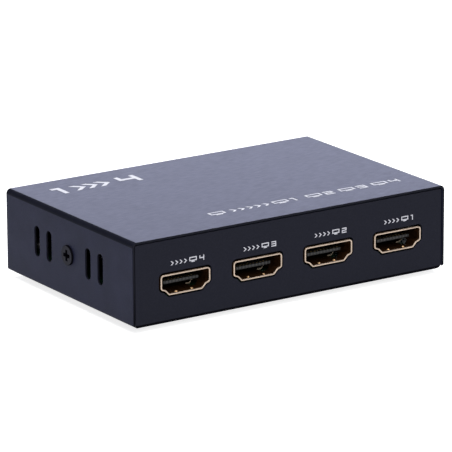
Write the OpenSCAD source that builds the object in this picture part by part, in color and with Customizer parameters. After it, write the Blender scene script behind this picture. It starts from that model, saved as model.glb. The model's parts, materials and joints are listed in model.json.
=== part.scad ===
// One-to-four video splitter: a folded sheet-metal case with a board of sockets inside.
// Millimetres, +Z up. X runs along the case and the four outputs face -Y.
// The origin is on the table, under the middle of the case.

/* [Case] */
// Length of the case over the sides of the cover
case_w = 96; // [93:0.5:130]
// Depth of the cover from its front edge to its rear edge
case_d = 61.5; // [58:0.5:90]
// Height from the underside of the tray to the top of the cover
case_h = 22.7; // [20.5:0.1:30]
// Sheet thickness of the cover
cover_t = 0.6; // [0.5:0.05:1]
// Outer radius of the bends of the cover
cover_bend = 1.3; // [1.1:0.05:2.5]
// Rounding along the lower edges of the cover
cover_lip = 0.7; // [0.3:0.05:0.9]
// Height of the lower edges of the cover above the underside of the tray
cover_lift = 0.9; // [0.4:0.1:2]
// Sheet thickness of the tray
tray_t = 0.8; // [0.6:0.05:1.2]
// Outer radius of the bends of the tray
tray_bend = 1.3; // [1.3:0.05:2.5]
// Rounding of the lower corners of the panels
panel_corner = 1.4; // [0.5:0.05:1.5]
// Gap between the cover and the edges of the tray
seam = 0.25; // [0.15:0.05:0.5]
// Distance from the edge of the cover back to the face of a panel
panel_inset = 0.2; // [0:0.05:1]

/* [Vents] */
// Width of a vent slot
vent_w = 2.5; // [1:0.1:3]
// Length of a vent slot
vent_len = 8.1; // [4:0.1:11]
// Distance between neighbouring slots
vent_pitch = 5.9; // [4:0.1:8]
// Distance from the cover screw to the nearest slot
vent_first = 9.5; // [8:0.1:12]
// Slots on each side of the cover screw
vent_count = 2; // [1:1:2]
// Height of the slots and the cover screws above the underside of the tray
vent_z = 12.2; // [9:0.1:13]

/* [Cover screws] */
// Thread diameter of a cover screw
screw_d = 3; // [2.5:0.1:3.5]
// Head diameter of a cover screw
screw_head_d = 5.2; // [5:0.1:6.5]
// Head height of a cover screw
screw_head_h = 0.55; // [0.4:0.05:1.2]
// Length of a cover screw under its head
screw_len = 5; // [4:0.5:8]
// Width of the tabs that take the cover screws
tab_w = 12; // [8:0.5:13]
// Height of the tabs above the middle of the screws
tab_over = 5; // [3.5:0.1:6]

/* [Feet] */
// Diameter of a foot
foot_d = 8; // [5:0.5:12]
// Height of a foot
foot_h = 1.2; // [0.8:0.1:5]
// Distance from the edges of the tray to the middle of a foot
foot_inset = 11; // [8:0.5:15]

/* [Board] */
// Thickness of the circuit board
board_t = 1.6; // [1:0.1:2]
// Gap between the board and the panels
board_gap = 0.5; // [0.3:0.1:1]
// Gap between the board and the tabs
board_side = 1; // [0.5:0.1:2]
// Height of the standoffs
standoff_h = 5; // [3.5:0.1:6]
// Diameter of a standoff
standoff_d = 5; // [4.5:0.1:6]
// Diameter of the end of a standoff that is pressed into the tray
standoff_foot_d = 4; // [3.6:0.1:4.2]
// Distance from the edges of the board to the board screws
board_screw_inset = 4; // [3:0.1:6]
// Thread diameter of a board screw
board_screw_d = 2.5; // [2:0.1:3]
// Head diameter of a board screw
board_screw_head_d = 4.6; // [4:0.1:5.5]
// Head height of a board screw
board_screw_head_h = 1.7; // [1.2:0.1:2.5]
// Length of a board screw under its head
board_screw_len = 5; // [3:0.5:6]

/* [Video sockets] */
// Distance between neighbouring outputs
socket_pitch = 21.8; // [18:0.1:24]
// Distance from the middle of the case to the middle of the row of outputs
row_x = 0.4; // [-1:0.1:1]
// Distance from the right-hand end of the case to the middle of the input
input_x = 58.9; // [57:0.1:72]
// Outer width of a shell
shell_w = 14.8; // [13:0.1:16.5]
// Outer height of a shell
shell_h = 5.5; // [4.8:0.1:7]
// Length of a shell from its mouth to its rear
shell_len = 11.2; // [9.5:0.1:13]
// Sheet thickness of a shell
shell_t = 0.4; // [0.25:0.05:0.5]
// Height at which the upright sides of a shell end
shell_side_z = 1.65; // [1.5:0.05:2.2]
// Width of the ledge under each upright side
shell_ledge = 1.3; // [0.9:0.05:1.5]
// Height of the inner end of the ledge
shell_ledge_z = 1.2; // [0.8:0.05:1.3]
// Width of the slope from the ledge down to the underside
shell_slope = 1.15; // [1:0.05:1.6]
// Outer radius of the upper corners of a shell
shell_corner = 0.9; // [0.6:0.05:1.4]
// Distance that the mouth of a shell stands out from the panel
mouth_proud = 0.15; // [0:0.05:1]
// Gap between a shell and its opening in the panel
mouth_gap = 0.45; // [0.2:0.05:0.8]
// Width of the tongue
tongue_w = 10.4; // [10:0.1:11.5]
// Thickness of the tongue
tongue_t = 0.8; // [0.7:0.05:1.4]
// Distance from the mouth of the shell to the tip of the tongue
tongue_tip = 2.2; // [1:0.1:3]
// Length of the moulded block that fills the rear of a shell
block_len = 3.6; // [2.5:0.1:4.5]
// Width of a contact
contact_w = 0.4; // [0.25:0.05:0.45]
// Thickness of a contact
contact_t = 0.15; // [0.1:0.05:0.25]
// Distance between neighbouring contacts on one face of the tongue
contact_pitch = 1; // [0.95:0.01:1.05]

/* [Power jack] */
// Distance from the right-hand end of the case to the middle of the power jack
jack_x = 17; // [16.5:0.1:19]
// Width of the jack
jack_w = 9; // [8.2:0.1:9.8]
// Height of the jack
jack_h = 11; // [10.2:0.1:12.5]
// Length of the jack
jack_len = 14; // [12.5:0.1:15]
// Length of the square front of the jack
jack_front = 3.5; // [2.5:0.1:5]
// Height of the barrel hole above the board
jack_axis = 6.5; // [6:0.1:6.8]
// Diameter of the barrel hole
jack_bore_d = 6.4; // [5.6:0.1:6.8]
// Depth of the barrel hole
jack_bore_len = 9.6; // [8:0.1:11]
// Diameter of the centre pin
jack_pin_d = 2; // [1.6:0.05:2.5]
// Diameter of the collar that holds the centre pin in the rear of the jack
jack_collar_d = 3; // [2.6:0.1:4]
// Distance from the front of the jack to the tip of its pin
jack_pin_tip = 1.2; // [0.5:0.1:3]
// Diameter of the round opening in the panel
jack_window_d = 8; // [7.2:0.1:8.6]

/* [Power switch] */
// Distance from the right-hand end of the case to the middle of the power switch
switch_x = 31; // [29.5:0.1:33]
// Width of the frame of the switch
switch_w = 12.7; // [11.5:0.1:14]
// Height of the frame
switch_h = 5.6; // [5:0.1:7]
// Length of the frame from front to back
switch_len = 6; // [5:0.1:8]
// Sheet thickness of the frame
switch_t = 0.4; // [0.3:0.05:0.5]
// Thickness of the insulating base
switch_base_t = 1.2; // [0.8:0.1:1.8]
// Travel of the slider
switch_travel = 3; // [2:0.1:4]
// Width of the knob
knob_w = 3.2; // [2:0.1:4]
// Height of the knob
knob_h = 3; // [2:0.1:3.4]
// Distance that the knob stands out from the panel
knob_proud = 1; // [0.3:0.1:1.2]

/* [Power light] */
// Distance from the right-hand end of the case to the middle of the power light
light_x = 44; // [42:0.1:47]
// Diameter of the lens
light_d = 3; // [2:0.1:3.5]
// Diameter of the rim at the rear of the lens
light_rim_d = 3.8; // [3.6:0.1:4.4]
// Length of the lens with its rim
light_len = 5.3; // [4:0.1:6]
// Height of the lens above the board
light_axis = 4.5; // [3:0.1:6]
// Distance that the lens stands out from the panel
light_proud = 0.6; // [0.2:0.1:1]

/* [Chips] */
// Width of the square splitter chip
splitter_w = 12; // [9:0.5:14]
// Thickness of the splitter chip
splitter_t = 1; // [0.8:0.1:1.6]
// Width of the microcontroller
micro_w = 5.3; // [4:0.1:6]
// Length of the microcontroller
micro_len = 7.2; // [6.8:0.1:9]
// Width of the memory chip
memory_w = 3.9; // [3.6:0.1:5]
// Length of the memory chip
memory_len = 4.9; // [4.6:0.1:6]
// Thickness of the microcontroller and the memory chip
small_chip_t = 1.6; // [1.2:0.1:2]
// Diameter of an electrolytic capacitor
can_d = 6.3; // [5:0.1:7]
// Height of an electrolytic capacitor
can_h = 5.8; // [5:0.1:9]
// Width of the power inductor
coil_w = 6.6; // [5:0.1:8]
// Height of the power inductor
coil_h = 3; // [2:0.1:5]
// Length of the crystal
crystal_len = 10.6; // [8:0.1:11.5]
// Width of the crystal
crystal_w = 4.4; // [3.5:0.1:5]
// Height of the crystal
crystal_h = 3.6; // [2.5:0.1:5]

/* [Clearances] */
// Gap around a seated piece
seat_gap = 0.05; // [0.02:0.01:0.1]
// Gap around a lead in its hole in the board
lead_gap = 0.15; // [0.1:0.05:0.2]
// Length of a lead below the board
lead_past = 0.8; // [0.3:0.1:1.2]
// Running gap around the slider of the switch
slide_gap = 0.3; // [0.2:0.05:0.4]
// Gap between the rear panel and the pieces just behind it
rear_gap = 0.3; // [0.2:0.05:0.6]
// Gap around the knob and the light in the panel, beside their own clearance
window_gap = 0.3; // [0.15:0.05:0.5]

/* [Hidden] */
$fn = 48;

// Length by which a cut runs past the face that it opens
past = 1;
// Straight steps in each rounded corner of a socket's outline
arc_steps = 6;

// Heights above the table
tray_z = foot_h;
floor_z = tray_z + tray_t;
top_z = tray_z + case_h;
panel_top = top_z - cover_t - seam;
board_z = floor_z + standoff_h;
board_top = board_z + board_t;
side_z = tray_z + vent_z;

// Outer size of the tray, and the faces of its panels measured from the middle
tray_w = case_w - 2 * (cover_t + seam);
tray_d = case_d - 2 * panel_inset;
panel_y = tray_d / 2;
panel_in = panel_y - tray_t;
rear_face = panel_in - rear_gap;
mouth_y = panel_y + mouth_proud;

// Outer size of the board
board_w = tray_w - 2 * (tray_t + board_side);
board_d = 2 * (panel_in - board_gap);

// Places along the case of the outputs, where the first is on the right as seen from the front
output_count = 4;
output_x = [for (n = [1:output_count]) row_x + ((output_count + 1) / 2 - n) * socket_pitch];

// The mounting legs of a shell, by the distance of their middle from the mouth
shell_leg_w = 1.2;
shell_leg_y = [mouth_proud + tray_t + board_gap + 2, shell_len - 2];

// Spring fingers, corner windows and dimples of a shell
finger_x = 2.35;
finger_w = 2;
finger_slit = 0.3;
finger_from = 2.4;
finger_len = 4;
window_from = 3.4;
window_len = 2.5;
dimple_y = 1;
dimple_h = 0.25;
dimple_d = 0.9;

// Tongue and contacts of a socket
tongue_z = shell_h / 2;
block_y = shell_len - block_len;
contact_counts = [10, 9];
contact_tip = 0.6;
contact_drop = 0.5;
contact_toe = 0.8;
tail_end = shell_len + contact_drop + contact_toe;

// Row of surge arrays behind each socket
array_size = [2.6, 1.1, 0.6];
array_x = 2.4;
array_gap = 0.3;
array_y = tail_end + array_gap + array_size.y / 2;
array_rear = array_y + array_size.y / 2;

// Board screws stand behind the surge arrays of the outputs and near the rear edge
board_screw_x = board_w / 2 - board_screw_inset;
board_screw_front = -mouth_y + array_rear + array_gap + board_screw_head_d / 2;
board_screw_rear = board_d / 2 - board_screw_inset;
board_screw_places = [
    for (side = [-1, 1])
        for (y = [board_screw_front, board_screw_rear])
            [side * board_screw_x, y]
];
foot_places = [
    for (side = [-1, 1])
        for (end = [-1, 1])
            [side * (tray_w / 2 - foot_inset), end * (tray_d / 2 - foot_inset)]
];
vent_places = [
    for (side = [-1, 1])
        for (k = [0:vent_count - 1])
            side * (vent_first + k * vent_pitch)
];

// Cross recess of a screw: width of its slots, depth in a board screw, length as a share of the head
cross_w = 1;
cross_depth = 0.9;
cross_share = 0.58;

// Legs of the power jack
jack_leg_w = 3;
jack_leg_t = 0.6;
jack_leaf_w = 2.4;
jack_leaf_t = 0.4;
jack_leaf_from = 2.5;
jack_leaf_bump = 0.4;
jack_leaf_bump_len = 3;
jack_leaf_end = jack_bore_len - 1;
jack_leaf_z = jack_axis - jack_bore_d / 2 - jack_leaf_t;
jack_shoulder = 0.3;

// Inside of the switch
switch_leg_w = 1.2;
switch_leg_y = switch_len / 2;
terminal_w = 0.9;
terminal_t = 0.4;
terminal_pitch = 3;
switch_mid = switch_h / 2;
carriage_w = switch_w - 2 * (switch_t + slide_gap) - switch_travel;
carriage_h = switch_h - 2 * (switch_t + slide_gap);
carriage_from = switch_t + slide_gap;
carriage_len = switch_len - switch_base_t - slide_gap - carriage_from;
knob_slot_w = knob_w + switch_travel + 2 * slide_gap;
knob_slot_h = knob_h + 2 * slide_gap;
knob_tip = rear_gap + tray_t + knob_proud;
groove_w = 0.35;
groove_pitch = 0.8;
groove_depth = 0.25;

// Leads of the power light
light_tip = rear_gap + tray_t + light_proud;
light_back = light_len - light_tip;
light_rim_t = 1;
light_lead_x = 1.27;
light_lead_w = 0.5;
light_lead_out = 1.4;

// Leads of the microcontroller and the memory chip
chip_lead_t = 0.2;
chip_lead_w = 0.4;
chip_lead_rise = 0.7;
chip_lead_knee = 0.4;
chip_lead_out = 1.1;
micro_leads = 10;
micro_lead_pitch = 0.65;
memory_leads = 4;
memory_lead_pitch = 1.1;

// Places on the board, from its middle
splitter_at = [0, -2];
micro_at = [-29, 5];
memory_at = [-29, -6];
crystal_at = [-16, 8];
coil_at = [22, 3];
coil_corner = 1;
regulator_size = [6.5, 3.6, 1.7];
regulator_tab = [3, 1.9, 0.4];
regulator_places = [[33, 3], [33, -6]];
can_places = [[13, 8], [13, -9], [22, -6]];
can_seat_h = 1.2;
can_seat_over = 0.3;
chip_size = [1.6, 0.8, 0.6];
capacitor_count = 5;
capacitor_pitch = 2.4;
capacitor_off = splitter_w / 2 + 1.5;
resistor_count = 6;
resistor_pitch = 2.2;
resistor_off = micro_w / 2 + chip_lead_out + 1.6;

// Direction from one point towards another
function unit(v) = v / norm(v);

// Outward normal of a side of a loop that runs anticlockwise
function side_normal(from, to) = let (d = unit(to - from)) [d.y, -d.x];

// A loop of points with every side moved outward by the same distance
function grown(loop, by) = [
    for (i = [0:len(loop) - 1])
        let (
            a = side_normal(loop[(i + len(loop) - 1) % len(loop)], loop[i]),
            b = side_normal(loop[i], loop[(i + 1) % len(loop)])
        )
        loop[i] + by * (a + b) / (1 + a * b)
];

// Points of the arc that rounds one corner
function corner_arc(before, corner, after, r) =
    let (
        u = unit(before - corner),
        v = unit(after - corner),
        half = acos(u * v) / 2,
        middle = corner + unit(u + v) * r / sin(half),
        start = corner + u * r / tan(half) - middle,
        end = corner + v * r / tan(half) - middle,
        from = atan2(start.y, start.x),
        turn = (atan2(end.y, end.x) - from + 540) % 360 - 180
    )
    [
        for (k = [0:arc_steps])
            let (angle = from + turn * k / arc_steps)
            middle + r * [cos(angle), sin(angle)]
    ];

// A loop of points with each corner rounded by its own radius
function rounded(loop, radii) = [
    for (i = [0:len(loop) - 1])
        each corner_arc(
            loop[(i + len(loop) - 1) % len(loop)],
            loop[i],
            loop[(i + 1) % len(loop)],
            radii[i]
        )
];

// Right half of a socket's outline from its underside up, and the radii of its corners
ledge_x = shell_w / 2 - shell_ledge;
socket_half = [
    [ledge_x - shell_slope, 0],
    [ledge_x, shell_ledge_z],
    [shell_w / 2, shell_side_z],
    [shell_w / 2, shell_h]
];
socket_radii = [0.6, 0.6, 0.8, shell_corner];
// The hollow turn at the ledge grows the other way to the rest
socket_turns = [1, -1, 1, 1];
least_radius = 0.05;

// Outline of a socket, moved outward by a distance or inward by a negative one
function socket_outline(by) =
    let (
        last = len(socket_half) - 1,
        left = [for (k = [last:-1:0]) [-socket_half[k].x, socket_half[k].y]],
        radii = [for (k = [0:last]) max(least_radius, socket_radii[k] + by * socket_turns[k])],
        mirrored = [for (k = [last:-1:0]) radii[k]]
    )
    rounded(grown(concat(socket_half, left), by), concat(radii, mirrored));

// An outline in X and Z, drawn out along +Y
module drawn_back(length) {
    translate([0, length, 0])
        rotate([90, 0, 0])
            linear_extrude(length)
                children();
}

// An outline in Y and Z, drawn out along X to both sides
module drawn_across(length) {
    translate([-length / 2, 0, 0])
        rotate([90, 0, 90])
            linear_extrude(length)
                children();
}

// A cylinder along +Y
module rod(d, length) {
    translate([0, length, 0])
        rotate([90, 0, 0])
            cylinder(d = d, h = length);
}

// A block that is centred on X and Y and stands on z = 0
module pad(size) {
    translate([-size.x / 2, -size.y / 2, 0])
        cube(size);
}

// Places a socket, drawn with its mouth at y = 0 and its depth along +Y
module at_output(n) {
    translate([output_x[n - 1], -mouth_y, board_top])
        children();
}

module at_input() {
    translate([case_w / 2 - input_x, mouth_y, board_top])
        rotate([0, 0, 180])
            children();
}

module at_every_socket() {
    for (n = [1:output_count])
        at_output(n)
            children();
    at_input()
        children();
}

// Places a piece, drawn with its front at y = 0, just inside the rear panel at a distance from
// the right-hand end of the case
module at_rear(from_end) {
    translate([case_w / 2 - from_end, rear_face, board_top])
        rotate([0, 0, 180])
            children();
}

module on_board(place) {
    translate([place.x, place.y, board_top])
        children();
}

// A cross recess whose mouth is at z = 0, for a head of the given diameter
module cross_recess(head_d, depth) {
    for (turn = [0, 90])
        rotate([0, 0, turn])
            translate([-head_d * cross_share / 2, -cross_w / 2, -depth])
                cube([head_d * cross_share, cross_w, depth + past]);
}

// Points a piece that stands on +Z along X, from one side of the case to the middle
module from_side(side) {
    translate([side * case_w / 2, 0, side_z])
        rotate([0, -90 * side, 0])
            children();
}

// The hole for a cover screw, cut from the face of the cover inward
module cover_screw_hole() {
    translate([0, 0, -past])
        cylinder(d = screw_d + 2 * seat_gap, h = screw_len + 2 * past);
}

module cover_section() {
    bottom = tray_z + cover_lift;
    lip = min(cover_lip, cover_t - seat_gap);
    inner_bend = cover_bend - cover_t;
    bend_x = case_w / 2 - cover_bend;
    bend_z = top_z - cover_bend;
    difference() {
        union() {
            translate([-bend_x, bend_z])
                square([2 * bend_x, cover_bend]);
            translate([-case_w / 2, bottom + lip])
                square([case_w, bend_z - bottom - lip]);
            translate([lip - case_w / 2, bottom])
                square([case_w - 2 * lip, lip]);
            for (side = [-1, 1]) {
                translate([side * bend_x, bend_z])
                    circle(cover_bend);
                translate([side * (case_w / 2 - lip), bottom + lip])
                    circle(lip);
            }
        }
        translate([cover_t - case_w / 2, bottom - past])
            square([case_w - 2 * cover_t, bend_z - bottom + past]);
        translate([-bend_x, bend_z - past])
            square([2 * bend_x, inner_bend + past]);
        for (side = [-1, 1])
            translate([side * bend_x, bend_z])
                circle(inner_bend);
    }
}

// A vent slot through one side of the cover, along +Z
module vent_slot() {
    length = cover_t + 2 * past;
    straight = vent_len - vent_w;
    translate([-straight / 2, -vent_w / 2, -past])
        cube([straight, vent_w, length]);
    for (end = [-1, 1])
        translate([end * straight / 2, 0, -past])
            cylinder(d = vent_w, h = length);
}

module top_cover() {
    color("#363a45")
    difference() {
        translate([0, -case_d / 2, 0])
            drawn_back(case_d)
                cover_section();
        for (side = [-1, 1])
            from_side(side) {
                cover_screw_hole();
                for (y = vent_places)
                    translate([0, y, 0])
                        vent_slot();
            }
    }
}

// The floor and the two panels of the tray, in Y and Z
module tray_section() {
    inner_bend = tray_bend - tray_t;
    bend_y = panel_y - tray_bend;
    bend_z = tray_z + tray_bend;
    difference() {
        union() {
            translate([-bend_y, tray_z])
                square([2 * bend_y, tray_bend]);
            translate([-panel_y, bend_z])
                square([tray_d, panel_top - bend_z]);
            for (end = [-1, 1])
                translate([end * bend_y, bend_z])
                    circle(tray_bend);
        }
        translate([-panel_in, bend_z])
            square([2 * panel_in, case_h]);
        translate([-bend_y, bend_z - inner_bend])
            square([2 * bend_y, inner_bend + past]);
        for (end = [-1, 1])
            translate([end * bend_y, bend_z])
                circle(inner_bend);
    }
}

// Takes a sharp corner off the tray, as seen from the front, with the centre of its rounding at a place
module tray_corner_cut(place, side, up, radius) {
    reach = radius + past;
    translate([side * place.x, -panel_y - past, place.y])
        difference() {
            translate([side > 0 ? 0 : -reach, 0, up > 0 ? 0 : -reach])
                cube([reach, tray_d + 2 * past, reach]);
            translate([0, -past, 0])
                rod(2 * radius, tray_d + 4 * past);
        }
}

// Rounds the lower corners of the panels, and the upper ones to clear the bends of the cover
module tray_corner_cuts(side) {
    top_corner = cover_bend - cover_t;
    tray_corner_cut([tray_w / 2 - panel_corner, tray_z + panel_corner], side, -1, panel_corner);
    tray_corner_cut([tray_w / 2 - top_corner, panel_top - top_corner], side, 1, top_corner);
}

module screw_tab(side) {
    translate([side > 0 ? tray_w / 2 - tray_t : -tray_w / 2, -tab_w / 2, tray_z])
        cube([tray_t, tab_w, vent_z + tab_over]);
}

// Openings in the rear panel for the jack, the knob and the light
module rear_windows() {
    depth = rear_gap + tray_t + past;
    knob_window_w = knob_slot_w + 2 * window_gap;
    knob_window_h = knob_slot_h + 2 * window_gap;
    at_rear(jack_x)
        translate([0, -depth, jack_axis])
            rod(jack_window_d, depth);
    at_rear(light_x)
        translate([0, -depth, light_axis])
            rod(light_d + 2 * window_gap, depth);
    at_rear(switch_x)
        translate([-knob_window_w / 2, -depth, switch_mid - knob_window_h / 2])
            cube([knob_window_w, depth, knob_window_h]);
}

module base_tray() {
    color("#26282f")
    difference() {
        union() {
            drawn_across(tray_w)
                tray_section();
            for (side = [-1, 1])
                screw_tab(side);
        }
        for (side = [-1, 1]) {
            tray_corner_cuts(side);
            from_side(side)
                cover_screw_hole();
        }
        for (place = board_screw_places)
            translate([place.x, place.y, tray_z - past])
                cylinder(d = standoff_foot_d, h = tray_t + 2 * past);
        at_every_socket()
            translate([0, -past, 0])
                drawn_back(mouth_proud + tray_t + board_gap + past)
                    polygon(socket_outline(mouth_gap));
        rear_windows();
    }
}

module cover_screws() {
    bevel = screw_head_h / 4;
    color("#2b2b30")
    for (side = [-1, 1])
        from_side(side)
            difference() {
                union() {
                    translate([0, 0, -screw_head_h])
                        cylinder(d1 = screw_head_d - 2 * bevel, d2 = screw_head_d, h = bevel);
                    translate([0, 0, bevel - screw_head_h])
                        cylinder(d = screw_head_d, h = screw_head_h - bevel);
                    cylinder(d = screw_d, h = screw_len);
                }
                translate([0, 0, -screw_head_h])
                    rotate([180, 0, 0])
                        cross_recess(screw_head_d, screw_head_h - bevel);
            }
}

module rubber_feet() {
    chamfer = foot_h / 3;
    color("#1c1c1e")
    for (place = foot_places)
        translate([place.x, place.y, 0]) {
            cylinder(d1 = foot_d - 2 * chamfer, d2 = foot_d, h = chamfer);
            translate([0, 0, chamfer])
                cylinder(d = foot_d, h = foot_h - chamfer);
        }
}

// A square hole through the board for a lead of the given width and thickness
module lead_hole(w, t) {
    translate([-w / 2 - lead_gap, -t / 2 - lead_gap, -board_t - past])
        cube([w + 2 * lead_gap, t + 2 * lead_gap, board_t + 2 * past]);
}

module socket_leg_holes() {
    for (side = [-1, 1])
        for (y = shell_leg_y)
            translate([side * (shell_w - shell_t) / 2, y, 0])
                lead_hole(shell_t, shell_leg_w);
}

module jack_leg_holes() {
    translate([0, jack_len + jack_leg_t / 2, 0])
        lead_hole(jack_leg_w, jack_leg_t);
    translate([0, jack_leaf_end + jack_leaf_t / 2, 0])
        lead_hole(jack_leaf_w, jack_leaf_t);
}

module switch_leg_holes() {
    for (side = [-1, 1])
        translate([side * (switch_w - switch_t) / 2, switch_leg_y, 0])
            lead_hole(switch_t, switch_leg_w);
    for (k = [-1:1])
        translate([k * terminal_pitch, switch_len + terminal_t / 2, 0])
            lead_hole(terminal_w, terminal_t);
}

module light_lead_holes() {
    for (side = [-1, 1])
        translate([side * light_lead_x, light_back + light_lead_out + light_lead_w / 2, 0])
            lead_hole(light_lead_w, light_lead_w);
}

module circuit_board() {
    color("#1f5c3a")
    difference() {
        translate([0, 0, board_z])
            pad([board_w, board_d, board_t]);
        for (place = board_screw_places)
            translate([place.x, place.y, board_z - past])
                cylinder(d = board_screw_d + 2 * lead_gap, h = board_t + 2 * past);
        at_every_socket()
            socket_leg_holes();
        at_rear(jack_x)
            jack_leg_holes();
        at_rear(switch_x)
            switch_leg_holes();
        at_rear(light_x)
            light_lead_holes();
    }
}

module standoffs() {
    color("#c9b27a")
    for (place = board_screw_places)
        translate([place.x, place.y, 0])
            difference() {
                union() {
                    translate([0, 0, tray_z])
                        cylinder(d = standoff_foot_d, h = tray_t);
                    translate([0, 0, floor_z])
                        cylinder(d = standoff_d, h = standoff_h);
                }
                translate([0, 0, tray_z - past])
                    cylinder(d = board_screw_d + 2 * seat_gap, h = tray_t + standoff_h + 2 * past);
            }
}

module board_screws() {
    bevel = board_screw_head_h / 3;
    color("#b9bcc2")
    for (place = board_screw_places)
        on_board(place)
            difference() {
                union() {
                    cylinder(d = board_screw_head_d, h = board_screw_head_h - bevel);
                    translate([0, 0, board_screw_head_h - bevel])
                        cylinder(d1 = board_screw_head_d, d2 = board_screw_head_d - 2 * bevel, h = bevel);
                    translate([0, 0, -board_screw_len])
                        cylinder(d = board_screw_d, h = board_screw_len);
                }
                translate([0, 0, board_screw_head_h])
                    cross_recess(board_screw_head_d, cross_depth);
            }
}

// Slits that free the spring fingers in the top and the underside of a shell
module finger_slits() {
    height = shell_h + 2 * past;
    for (side = [-1, 1])
        translate([side * finger_x, finger_from, -past]) {
            for (edge = [-1, 1])
                translate([edge * (finger_w + finger_slit) / 2 - finger_slit / 2, 0, 0])
                    cube([finger_slit, finger_len, height]);
            translate([-finger_w / 2 - finger_slit, finger_len, 0])
                cube([finger_w + 2 * finger_slit, finger_slit, height]);
        }
}

// Windows in the lower corners of a shell, beside the fingers and up to the ledges
module corner_windows() {
    inner = finger_x + finger_w / 2;
    for (side = [0, 1])
        mirror([side, 0, 0])
            translate([inner, window_from, -past])
                cube([ledge_x - inner, window_len, shell_ledge_z + past]);
}

module socket_shell() {
    leg_len = shell_side_z + shell_corner + board_t + lead_past;
    color("#e6cbb4") {
        difference() {
            drawn_back(shell_len)
                difference() {
                    polygon(socket_outline(0));
                    polygon(socket_outline(-shell_t));
                }
            finger_slits();
            corner_windows();
        }
        for (side = [-1, 1]) {
            for (y = shell_leg_y)
                translate([side * (shell_w - shell_t) / 2, y, -board_t - lead_past])
                    pad([shell_t, shell_leg_w, leg_len]);
            translate([side * finger_x, dimple_y, shell_t - seat_gap])
                cylinder(d1 = dimple_d, d2 = dimple_d / 2, h = dimple_h + seat_gap);
        }
    }
}

// Sideways places of the contacts on the upper face (0) or the lower face (1) of the tongue
function contact_places(row) = [
    for (k = [0:contact_counts[row] - 1])
        (k - (contact_counts[row] - 1) / 2) * contact_pitch
];

// Height of the underside of the contacts in a row
function contact_level(row) = tongue_z + (row == 0 ? tongue_t / 2 : -tongue_t / 2 - contact_t);

module socket_tongue() {
    color("#26262a")
    difference() {
        union() {
            translate([0, block_y, 0])
                drawn_back(block_len)
                    polygon(socket_outline(-shell_t - seat_gap));
            translate([-tongue_w / 2, tongue_tip, tongue_z - tongue_t / 2])
                cube([tongue_w, block_y + past - tongue_tip, tongue_t]);
        }
        for (row = [0, 1])
            for (x = contact_places(row))
                translate([x - contact_w / 2, block_y - past, contact_level(row)])
                    cube([contact_w, block_len + 2 * past, contact_t]);
    }
}

// One contact in Y and Z: along the tongue, through the block and down to the board
module contact_section(level) {
    start = tongue_tip + contact_tip;
    heel = shell_len + contact_drop;
    polygon([
        [start, level],
        [heel - contact_t, level],
        [heel - contact_t, 0],
        [tail_end, 0],
        [tail_end, contact_t],
        [heel, contact_t],
        [heel, level + contact_t],
        [start, level + contact_t]
    ]);
}

module socket_contacts() {
    color("#d9b35c")
    for (row = [0, 1])
        for (x = contact_places(row))
            translate([x, 0, 0])
                drawn_across(contact_w)
                    contact_section(contact_level(row));
}

module output_shell(n) {
    at_output(n)
        socket_shell();
}

module output_tongue(n) {
    at_output(n)
        socket_tongue();
}

module output_contacts(n) {
    at_output(n)
        socket_contacts();
}

module input_shell() {
    at_input()
        socket_shell();
}

module input_tongue() {
    at_input()
        socket_tongue();
}

module input_contacts() {
    at_input()
        socket_contacts();
}

module power_jack_body() {
    color("#1d1d20")
    at_rear(jack_x)
        difference() {
            union() {
                translate([-jack_w / 2, 0, 0])
                    cube([jack_w, jack_front, jack_h]);
                translate([-jack_w / 2, 0, 0])
                    cube([jack_w, jack_len, jack_axis]);
                translate([0, 0, jack_axis])
                    rod(jack_w - 2 * jack_shoulder, jack_len);
            }
            translate([0, -past, jack_axis])
                rod(jack_bore_d, jack_bore_len + past);
            translate([0, jack_bore_len - past, jack_axis])
                rod(jack_collar_d + 2 * seat_gap, jack_len - jack_bore_len + 2 * past);
            translate([-jack_leaf_w / 2 - lead_gap, jack_leaf_from - lead_gap, -past])
                cube([
                    jack_leaf_w + 2 * lead_gap,
                    jack_leaf_end + jack_leaf_t - jack_leaf_from + 2 * lead_gap,
                    jack_axis + past
                ]);
        }
}

module power_jack_pin() {
    point = jack_pin_d / 5;
    color("#c8cbd0")
    at_rear(jack_x) {
        translate([0, jack_pin_tip + point, jack_axis]) {
            rod(jack_pin_d, jack_len - jack_pin_tip - point);
            rotate([90, 0, 0])
                cylinder(d1 = jack_pin_d, d2 = jack_pin_d - 2 * point, h = point);
        }
        translate([0, jack_bore_len, jack_axis])
            rod(jack_collar_d, jack_len + jack_leg_t - jack_bore_len);
        translate([-jack_leg_w / 2, jack_len, -board_t - lead_past])
            cube([jack_leg_w, jack_leg_t, board_t + lead_past + jack_axis + jack_pin_d]);
    }
}

module power_jack_leaf() {
    level = jack_leaf_z + jack_leaf_t;
    foot = -board_t - lead_past;
    bump = jack_leaf_from + jack_leaf_bump_len;
    color("#c8cbd0")
    at_rear(jack_x)
        drawn_across(jack_leaf_w)
            polygon([
                [jack_leaf_from, jack_leaf_z],
                [jack_leaf_end, jack_leaf_z],
                [jack_leaf_end, foot],
                [jack_leaf_end + jack_leaf_t, foot],
                [jack_leaf_end + jack_leaf_t, level],
                [bump + jack_leaf_bump, level],
                [bump, level + jack_leaf_bump],
                [bump - jack_leaf_bump, level + jack_leaf_bump],
                [bump - 2 * jack_leaf_bump, level],
                [jack_leaf_from, level]
            ]);
}

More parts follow.
